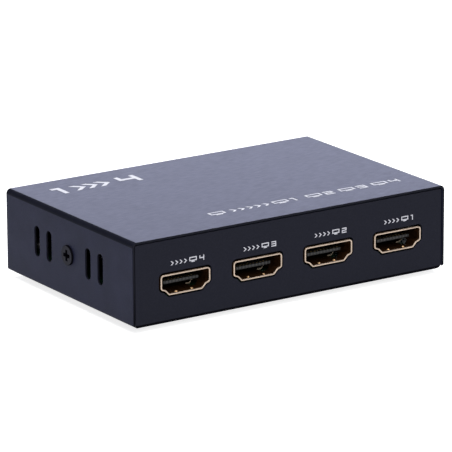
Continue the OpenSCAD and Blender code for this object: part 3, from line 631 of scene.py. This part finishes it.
def make_cover():
    """The folded cover: brushed on top, matt on its sides, in painted shade on its bends and black where it
    is cut.
    """
    cover = softened("top_cover", edge=0.12 * MM, sheet=True)
    mesh = cover.data
    for finish in (slot_finish["cover_metal"], top_finish, painted_shade_bend_finish, edge_finish):
        mesh.materials.append(finish)
    matt, brushed, painted_dark_bend, cut = range(4)
    bend_x, bend_z = cover_high.x - cover_bend, cover_high.z - cover_bend
    cut_y = cover_high.y - 0.2 * MM
    level, leaning, upright = 0.995, 0.3, 0.02
    for face in mesh.polygons:
        up = face.normal.z
        if abs(face.normal.y) > straight and abs(face.center.y) > cut_y:
            face.material_index = cut
        elif face.center.z < bend_z:
            face.material_index = matt if abs(face.normal.x) > straight else cut
        elif up > level or (up > leaning and abs(face.center.x) < bend_x):
            face.material_index = brushed
        # Faces on the bends get painted shade
        elif up > upright:
            face.material_index = painted_dark_bend
    # The top sinks by the ink's thickness, so the print stays inside the box
    for vert in mesh.vertices:
        vert.co.z = min(vert.co.z, cover_high.z - ink_t)
    cover.name = "cover"
    dressed(cover, "top_cover")


def make_tray():
    """The folded tray, with painted shade under its front and rear bends."""
    tray = softened("base_tray", edge=0.1 * MM, sheet=True)
    tray.data.materials.append(slot_finish["tray_metal"])
    tray.data.materials.append(shade_finish)
    flat, leaning = 0.97, 0.2
    # Faces that lean down under the front and rear bends get painted shade
    for face in tray.data.polygons:
        if -flat < face.normal.z < -leaning and abs(face.normal.y) > leaning:
            face.material_index = 1
    dressed(tray, "base_tray")


def make_cover_screws():
    """Low flat screws, one in each end, with a thread, and a cross recess and rim in painted shade."""
    head_r, shank_r, h = screw_head_d / 2, screw_d / 2, screw_head_h
    length = h + screw_len
    rim, neck, point, taper = 0.12 * MM, 0.1 * MM, 0.3 * MM, 0.6 * MM
    recess = 1.1 * MM
    profile = [(0, 0), (head_r - rim, 0), (head_r, -rim), (head_r, -h), (shank_r, -h)]
    profile += threaded(shank_r, -h - neck, -length + point)
    profile += [(shank_r - taper, -length), (0, -length)]
    blank = cut_cross(turned("screw", profile), screw_head_d, recess)
    blank.data.transform(Matrix.Rotation(math.radians(-90), 4, "Y"))
    height = (screws_low.z + screws_high.z) / 2
    screws = grown(
        both_ends, "end_screws", blank, slot_finish["black_screw"],
        Left=(screws_low.x, 0, height), Right=(screws_high.x, 0, height),
    )
    screws.data.materials.append(shade_finish)
    face_depth = 0.05 * MM
    # The recess and the rim get painted shade
    for face in screws.data.polygons:
        if screws_high.x - abs(face.center.x) > face_depth:
            face.material_index = 1
    dressed(screws, "cover_screws")


def make_shells():
    """Socket shells: plain gold at the mouth, a painted highlight on the dimples, a painted glint at the far
    end of the windows, and painted shade elsewhere.
    """
    lip, rise = 0.12 * MM, 0.03 * MM
    for node in ["input_shell"] + [f"output_shell_{n}" for n in output_numbers]:
        low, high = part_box(node)
        shell = softened(node, edge=0.1 * MM)
        for finish in (slot_finish[node_slot[node]], painted_shade_gold_finish, dimple_highlight_finish, far_edge_glint_finish):
            shell.data.materials.append(finish)
        # Inside the shell the faces get painted shade, except where a painted highlight or glint is set
        bright, dimmed, dimple_highlight, glint = range(4)
        middle_x, middle_z = (low.x + high.x) / 2, high.z - shell_h / 2
        mouth_y = max(-low.y, high.y)
        for face in shell.data.polygons:
            x, z = face.center.x - middle_x, face.center.z - middle_z
            depth = mouth_y - abs(face.center.y)
            off_wall = shell_h / 2 - shell_t - abs(z) > rise
            far_edge = abs(depth - window_end) < lip and abs(face.normal.y) > straight
            if depth < lip:
                face.material_index = bright
            # The far edge of the window gets a painted glint
            elif far_edge:
                face.material_index = glint
            # The dimples get a painted highlight
            elif off_wall and abs(abs(x) - dimple_x) < dimple_reach:
                face.material_index = dimple_highlight
            else:
                face.material_index = dimmed
        dressed(shell, node)


def make_feet():
    """Moulded feet with a soft rim and a hollow in the sole."""
    r, h = foot_d / 2, feet_high.z
    sole = r - 0.55 * MM
    hollow, rim_r, top_edge = 0.25 * MM, 0.5 * MM, 0.1 * MM
    rim_steps = 6
    profile = [(0, hollow), (sole - 0.9 * MM, hollow)]
    profile += [(sole - 0.7 * MM, 0.05 * MM), (sole - 0.5 * MM, 0)]
    for k in range(rim_steps + 1):
        angle = math.radians(-90 + 90 / rim_steps * k)
        profile.append((r - rim_r + rim_r * math.cos(angle), rim_r + rim_r * math.sin(angle)))
    profile += [(r, h - top_edge), (r - top_edge, h), (0, h)]
    middle = (feet_low + feet_high) / 2
    span = feet_high - feet_low
    foot = turned("foot", profile)
    foot.data.shade_smooth()
    feet = grown(
        even_rows, "feet", foot, slot_finish["foot_rubber"],
        Across=2, Deep=2, Width=span.x - foot_d, Depth=span.y - foot_d, Middle=(middle.x, middle.y, 0),
    )
    dressed(feet, "rubber_feet")


def make_board_screws():
    """Pan-head screws that hold the board to its standoffs."""
    head_r, shank_r, h = board_screw_head_d / 2, board_screw_d / 2, board_screw_head_h
    length = board_screws_high.z - board_screws_low.z
    neck, point, taper, pitch = 0.1 * MM, 0.2 * MM, 0.5 * MM, 0.45 * MM
    recess = 0.9 * MM
    profile = [(0, 0), (head_r - 0.9 * MM, 0), (head_r - 0.45 * MM, -0.12 * MM)]
    profile += [(head_r - 0.12 * MM, -0.4 * MM), (head_r, -0.8 * MM), (head_r, -h), (shank_r, -h)]
    profile += threaded(shank_r, -h - neck, -length + point, pitch)
    profile += [(shank_r - taper, -length), (0, -length)]
    blank = cut_cross(turned("screw", profile, sides=32), board_screw_head_d, recess)
    middle = (board_screws_low + board_screws_high) / 2
    span = board_screws_high - board_screws_low
    screws = grown(
        even_rows, "pan_screws", blank, slot_finish["zinc_screw"],
        Across=2, Deep=2, Width=span.x - board_screw_head_d, Depth=span.y - board_screw_head_d,
        Middle=(middle.x, middle.y, board_screws_high.z),
    )
    dressed(screws, "board_screws")


def make_softened_pieces():
    """The other pieces that show keep their CAD shape, with worn or pressed edges in millimetres."""
    edges = {
        "power_jack_body": 0.13,
        "power_jack_pin": 0.06,
        "power_light": 0.04,
        "input_tongue": 0.04,
        "electrolytic_capacitors": 0.25,
        "crystal": 0.3,
        "power_inductor": 0.15,
        "splitter_chip": 0.08,
        "microcontroller": 0.08,
        "memory_chip": 0.08,
    }
    for n in output_numbers:
        edges[f"output_tongue_{n}"] = edges["input_tongue"]
    for node, edge in edges.items():
        dressed(softened(node, edge * MM), node)
    dressed(softened("switch_slider", edge=0.12 * MM), "switch_slider", SLIDER)


def finish_plain_nodes():
    """Every CAD node gets the finish of its slot, shown or not."""
    for node, part in frame["nodes"].items():
        part.data.materials.clear()
        part.data.materials.append(slot_finish[node_slot[node]])


def box_outline(x0, y0, x1, y1):
    return [(x0, y0), (x1, y0), (x1, y1), (x0, y1)]


def arc(radius, start, end, steps=23):
    """Points on a circle about the middle, between two angles in degrees."""
    angles = [math.radians(start + (end - start) * k / steps) for k in range(steps + 1)]
    return [(radius * math.cos(a), radius * math.sin(a)) for a in angles]


def circle(radius):
    return arc(radius, 0, 345)


class Print:
    """Flat white marks on one face of the case, drawn in millimetres to the right and up."""

    def __init__(self, middle, right, up):
        self.shape = bmesh.new()
        self.middle = Vector(middle)
        self.right = Vector(right)
        self.up = Vector(up)

    def frame_at(self, x, y):
        out = self.right.cross(self.up)
        turn = Matrix((self.right, self.up, out)).transposed().to_4x4()
        return Matrix.Translation(self.middle + (self.right * x + self.up * y) * MM) @ turn

    def loop(self, outline, height, x, y):
        """New points along an outline, at a height above the face."""
        place = self.frame_at(x, y)
        spots = [place @ Vector((u * MM, v * MM, height)) for u, v in outline]
        return [self.shape.verts.new(spot) for spot in spots]

    def wall(self, first, second):
        """Faces between two loops with equally many points."""
        for near in range(len(first)):
            far = (near + 1) % len(first)
            self.shape.faces.new([first[near], first[far], second[far], second[near]])

    def plate(self, outline, x=0, y=0):
        """A closed plate of ink from an outline."""
        under, over = (self.loop(outline, height, x, y) for height in (-ink_t, ink_t))
        self.shape.faces.new(under[::-1])
        self.shape.faces.new(over)
        self.wall(under, over)

    def border(self, inner, outer, x=0, y=0):
        """A closed frame of ink between two outlines with equally many points."""
        edges = ((outer, -ink_t), (outer, ink_t), (inner, ink_t), (inner, -ink_t))
        loops = [self.loop(outline, height, x, y) for outline, height in edges]
        for first, second in zip(loops, loops[1:] + loops[:1]):
            self.wall(first, second)

    def bar(self, x0, y0, x1, y1):
        self.plate(box_outline(x0, y0, x1, y1))

    def stroke(self, start, end, wide):
        """A straight line with square ends."""
        along = (Vector(end) - Vector(start)).normalized()
        side = Vector((-along.y, along.x)) * wide / 2
        a, b = Vector(start), Vector(end)
        self.plate([a - side, b - side, b + side, a + side])

    def disc(self, x, y, radius):
        self.plate(circle(radius), x, y)

    def ring(self, x, y, radius, wide):
        self.border(circle(radius - wide / 2), circle(radius + wide / 2), x, y)

    def open_ring(self, radius, wide, start, end):
        """Part of a ring about the middle, between two angles in degrees."""
        self.plate(arc(radius + wide / 2, start, end) + arc(radius - wide / 2, start, end)[::-1])

    def screen(self, x, y, w, h, wide):
        """A small screen on a foot, as a mark for one output."""
        low = y + 0.22 * h
        outer = box_outline(x, low, x + w, y + h)
        inner = box_outline(x + wide, low + wide, x + w - wide, y + h - wide)
        self.border(inner, outer)
        self.bar(x + 0.28 * w, y, x + 0.72 * w, y + wide)

    def figure(self, value, x, y, h, wide):
        """A squared figure from 1 to 4 with its lower left corner at a place, in lines of one width."""
        w = figure_w[value] * h
        left, right = wide, w - wide
        low, high = (h - wide) / 2, (h + wide) / 2
        top = h - wide
        outlines = {
            1: [(right, 0), (w, 0), (w, h), (0, h), (0, top), (right, top)],
            2: [(0, 0), (w, 0), (w, wide), (left, wide), (left, low), (w, low),
                (w, h), (0, h), (0, top), (right, top), (right, high), (0, high)],
            3: [(0, 0), (w, 0), (w, h), (0, h), (0, top), (right, top),
                (right, high), (0, high), (0, low), (right, low), (right, wide), (0, wide)],
            4: [(right, 0), (w, 0), (w, h), (right, h), (right, high), (left, high),
                (left, h), (0, h), (0, low), (right, low)],
        }
        self.plate(outlines[value], x, y)

    def finished(self, name):
        mesh = mesh_from(self.shape, name)
        mesh.materials.append(ink)
        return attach(new_piece(name, mesh), CASE)


def arrow_heads(name, middle, right, up, count, length, h, wide):
    """A row of open arrow heads that point to the right, over a length in millimetres."""
    head = Print((0, 0, 0), right, up)
    reach, across, half = 0.55 * h, 1.3 * wide, h / 2
    head.plate([(0, -half), (across, -half), (reach + across, 0), (across, half), (0, half), (reach, 0)])
    shape = new_piece("arrow_head", mesh_from(head.shape, name))
    turned_row = Vector(right) * length * MM
    row = grown(
        even_rows, name, shape, ink,
        Across=count, Deep=1, Width=turned_row.x, Depth=0.0, Middle=Vector(middle),
    )
    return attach(row, CASE)


def print_front():
    """A line of marks above each output: arrow heads, a screen and the number of the output."""
    line_shift, arrows_x = 0.5 * MM, 2.9 * MM
    h = 1.35
    screen_x, screen_w, screen_line = 0.7, 2.2, 0.25
    figure_x, figure_line = 3.7, 0.26
    for n in output_numbers:
        low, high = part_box(f"output_shell_{n}")
        middle = Vector(((low.x + high.x) / 2 + line_shift, tray_low.y, label_z))
        marks = Print(middle, *front_face)
        marks.screen(screen_x, -h / 2, screen_w, h, screen_line)
        marks.figure(n, figure_x, -h / 2, h, figure_line)
        marks.finished(f"output_mark_{n}")
        start = middle - Vector((arrows_x, 0, 0))
        arrow_heads(f"output_arrows_{n}", start, *front_face, count=4, length=3.9, h=1.05, wide=0.28)


def print_top():
    """A one-to-four sign in the rear left corner and a row of numbered screens along the front."""
    top_z = cover_high.z - ink_t
    sign_x, sign_y, arrows_x = -26.4 * MM, 21 * MM, -3.6 * MM
    sign_w, sign_h, sign_line = 25.4, 5.6, 1.3
    sign = Print((sign_x, sign_y, top_z), *top_face)
    sign.figure(1, -sign_w / 2, -sign_h / 2, sign_h, sign_line)
    sign.figure(4, sign_w / 2 - figure_w[4] * sign_h, -sign_h / 2, sign_h, sign_line)
    sign.finished("one_to_four_sign")
    middle = (sign_x + arrows_x, sign_y, top_z)
    arrow_heads("sign_arrows", middle, *top_face, count=3, length=7.4, h=4.4, wide=1.2)

    row_y, row_arrows_x = -19.85 * MM, -6.6 * MM
    input_x, first_x, pitch = -17.9, 1.5, 10.4
    screen_w, h, screen_line = 4.6, 2.6, 0.45
    figure_x, figure_line = 5.6, 0.5
    row = Print((0, row_y, top_z), *top_face)
    for n in output_numbers:
        x = first_x + pitch * (n - 1)
        row.screen(x, -h / 2, screen_w, h, screen_line)
        row.figure(n, x + figure_x, -h / 2, h, figure_line)
    row.screen(input_x, -h / 2, screen_w, h, screen_line)
    row.finished("screen_row")
    arrow_heads("top_arrows", (row_arrows_x, row_y, top_z), *top_face, count=5, length=10, h=2.0, wide=0.6)


def print_input():
    """A screen above the input, with arrow heads that point to it."""
    input_x = (input_low.x + input_high.x) / 2
    arrows_x = 1.6 * MM
    screen_x, screen_w, h, screen_line = 1.0, 2.2, 1.15, 0.2
    marks = Print((input_x, tray_high.y, label_z), *rear_face)
    marks.screen(screen_x, -h / 2, screen_w, h, screen_line)
    marks.finished("input_mark")
    middle = (input_x + arrows_x, tray_high.y, label_z)
    arrow_heads("input_arrows", middle, *rear_face, count=3, length=2.6, h=0.9, wide=0.22)


def print_switch():
    """A ring and a bar beside the switch, for off and on."""
    switch_x = (switch_low.x + switch_high.x) / 2
    switch_z = (switch_low.z + switch_high.z) / 2
    away, ring_r, bar_h, line = 5.3, 0.62, 1.5, 0.22
    marks = Print((switch_x, tray_high.y, switch_z), *rear_face)
    marks.ring(away, 0, ring_r, line)
    marks.bar(-away - line / 2, -bar_h / 2, -away + line / 2, bar_h / 2)
    marks.finished("switch_marks")


def print_polarity():
    """The sign of a jack with a positive centre: a dot in an open ring, between a minus and a plus."""
    jack_x = (jack_low.x + jack_high.x) / 2
    sign_z = jack_low.z + jack_axis + 5.4 * MM
    pole_x, pole_r, pole_line, arm = 2.6, 0.7, 0.18, 0.35
    ring_r, dot_r, line = 0.75, 0.3, 0.2
    wire_from, wire_to = 0.89, 1.77
    half, wire = pole_line / 2, line / 2
    marks = Print((jack_x, tray_high.y, sign_z), *rear_face)
    marks.open_ring(ring_r, line, 40, 320)
    marks.plate(arc(dot_r, 20, 340) + [(wire_to, -wire), (wire_to, wire)])
    marks.bar(-wire_to, -wire, -wire_from, wire)
    marks.ring(-pole_x, 0, pole_r, pole_line)
    marks.bar(-pole_x - arm, -half, -pole_x + arm, half)
    marks.ring(pole_x, 0, pole_r, pole_line)
    marks.plate([
        (half, -arm), (half, -half), (arm, -half), (arm, half), (half, half), (half, arm),
        (-half, arm), (-half, half), (-arm, half), (-arm, -half), (-half, -half), (-half, -arm),
    ], pole_x, 0)
    marks.finished("polarity_mark")


def print_light():
    """A small sun above the power light."""
    light_x = (light_low.x + light_high.x) / 2
    dot_r, ray_from, ray_to, ray_w, rays = 0.3, 0.45, 0.72, 0.16, 8
    marks = Print((light_x, tray_high.y, label_z), *rear_face)
    marks.disc(0, 0, dot_r)
    for k in range(rays):
        angle = 2 * math.pi * k / rays
        way = Vector((math.cos(angle), math.sin(angle)))
        marks.stroke(ray_from * way, ray_to * way, ray_w)
    marks.finished("light_mark")


def floor_white():
    """A white light table, so the part throws only a faint shadow."""
    finish = Finish("floor_white", Specular_IOR_Level=0.1, Emission_Color=(1, 1, 1, 1), Emission_Strength=0.8)
    paper = finish.grain(cube_of(40 * MM), detail=2)
    finish.coloured(finish.varied(paper, (0.5, 0.5, 0.503), (0.52, 0.52, 0.523)))
    return finish.roughened(paper, 0.8, 0.9).material


def softbox(name, place, width, height, power, tint=(1, 1, 1)):
    """A soft rectangular lamp at a place, turned towards the part."""
    lamp = bpy.data.lights.new(name, "AREA")
    lamp.shape = "RECTANGLE"
    lamp.size = width
    lamp.size_y = height
    lamp.energy = power
    lamp.color = tint
    light = bpy.data.objects.new(name, lamp)
    light.location = place
    light.rotation_euler = (Vector((0, 0, 0)) - Vector(place)).to_track_quat("-Z", "Y").to_euler()
    bpy.context.scene.collection.objects.link(light)


def set_stage():
    """White floor, one big lamp overhead, a cool panel behind to the right and a fill from the front."""
    mesh = bpy.data.meshes.new("floor")
    half = 4.0
    corners = [(-half, -half, 0), (half, -half, 0), (half, half, 0), (-half, half, 0)]
    mesh.from_pydata(corners, [], [(0, 1, 2, 3)])
    mesh.materials.append(floor_white())
    new_piece("floor", mesh)
    softbox("overhead", (0, 0, 1.4), width=2.0, height=2.0, power=42)
    softbox("back_panel", (0.8, 1.2, 0.34), width=1.1, height=0.6, power=6.3, tint=(0.86, 0.9, 1.0))
    softbox("front_fill", (-0.5, -1.3, 0.9), width=1.0, height=0.7, power=9.8)
    world = bpy.data.worlds.new("studio")
    world.use_nodes = True
    sky = world.node_tree.nodes["Background"].inputs
    sky["Color"].default_value = (0.8, 0.86, 1.0, 1)
    sky["Strength"].default_value = 0.105
    bpy.context.scene.world = world
    bpy.context.scene.view_settings.view_transform = "Standard"


def set_camera():
    """The photograph's camera, far off with a long lens, turned a hair to set the case in the frame."""
    lens = bpy.data.cameras.new("camera")
    lens.sensor_width = 36
    lens.lens = 312.03
    lens.clip_start = 0.01
    camera = bpy.data.objects.new("camera", lens)
    eye = (-0.54074, -0.81892, 0.29520)
    right = Vector((0.8338, -0.5521, -0.0047))
    up = Vector((0.1563, 0.2279, 0.9611))
    look = Vector((0.5296, 0.8020, -0.2763))
    turn_right, turn_up = 5.1e-5, 2.25e-4
    look = (look + turn_right * right + turn_up * up).normalized()
    right = (right - right.dot(look) * look).normalized()
    up = right.cross(look)
    turn = Matrix((right, up, -look)).transposed().to_4x4()
    camera.matrix_world = Matrix.Translation(eye) @ turn
    bpy.context.scene.collection.objects.link(camera)
    bpy.context.scene.camera = camera


finish_plain_nodes()
make_cover()
make_tray()
make_cover_screws()
make_shells()
make_feet()
make_board_screws()
make_softened_pieces()
print_front()
print_top()
print_input()
print_switch()
print_polarity()
print_light()
set_stage()
set_camera()
